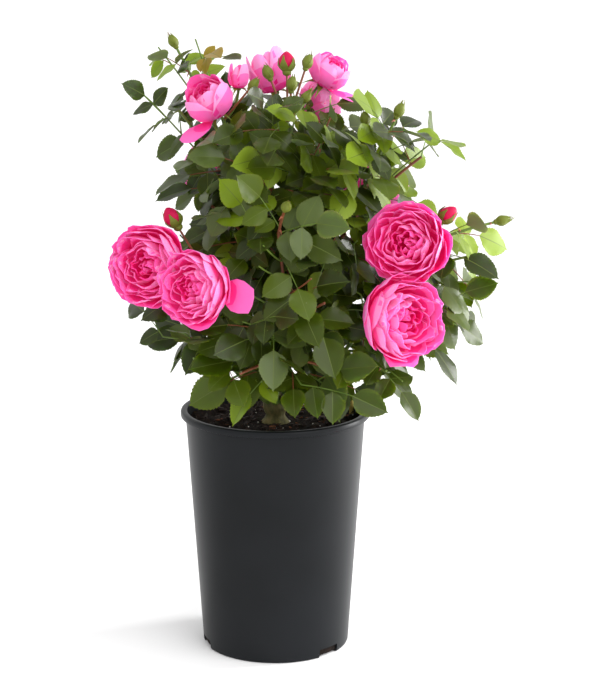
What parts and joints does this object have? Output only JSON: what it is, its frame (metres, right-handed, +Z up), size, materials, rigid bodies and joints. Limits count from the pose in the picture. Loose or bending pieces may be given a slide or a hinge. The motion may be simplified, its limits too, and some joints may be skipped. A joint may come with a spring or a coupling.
{
  "type": "potted rose bush",
  "caption": "Bushy rose in a tall tapered nursery pot: canes fan out from a knuckle, with compound leaves, full rosette blooms and pointed buds.",
  "frame": {"origin": "centre of the pot's flat underside", "axes": "+Z up through the pot; -Y is the front; +X is to the right seen from the front"},
  "size_m": [0.3898, 0.2745, 0.6164],
  "materials": {
    "pot_plastic": "satin anthracite moulded plastic",
    "potting_mix": "damp dark bark compost",
    "bark": "smooth green cane bark with thorns",
    "leaf": "satin green leaf",
    "petal": "soft pink petal"
  },
  "bodies": {
    "root": {"pot": "pot_plastic", "soil": "potting_mix", "stock": "bark", "cut_stub": "bark", "cane_front": "bark", "cane_top_right": "bark", "cane_right": "bark", "cane_back_right": "bark", "cane_top": "bark", "cane_back_left": "bark", "cane_top_left": "bark", "cane_left": "bark", "foliage_top_left": "leaf", "foliage_top": "leaf", "foliage_top_right": "leaf", "foliage_left": "leaf", "foliage_right": "leaf", "foliage_front": "leaf", "foliage_back_left": "leaf", "foliage_back_right": "leaf", "flowers_left": "petal", "flowers_right": "petal", "flowers_top_left": "petal", "flowers_top": "petal", "flowers_back_left": "petal", "flowers_back_right": "petal"}
  },
  "joints": []
}
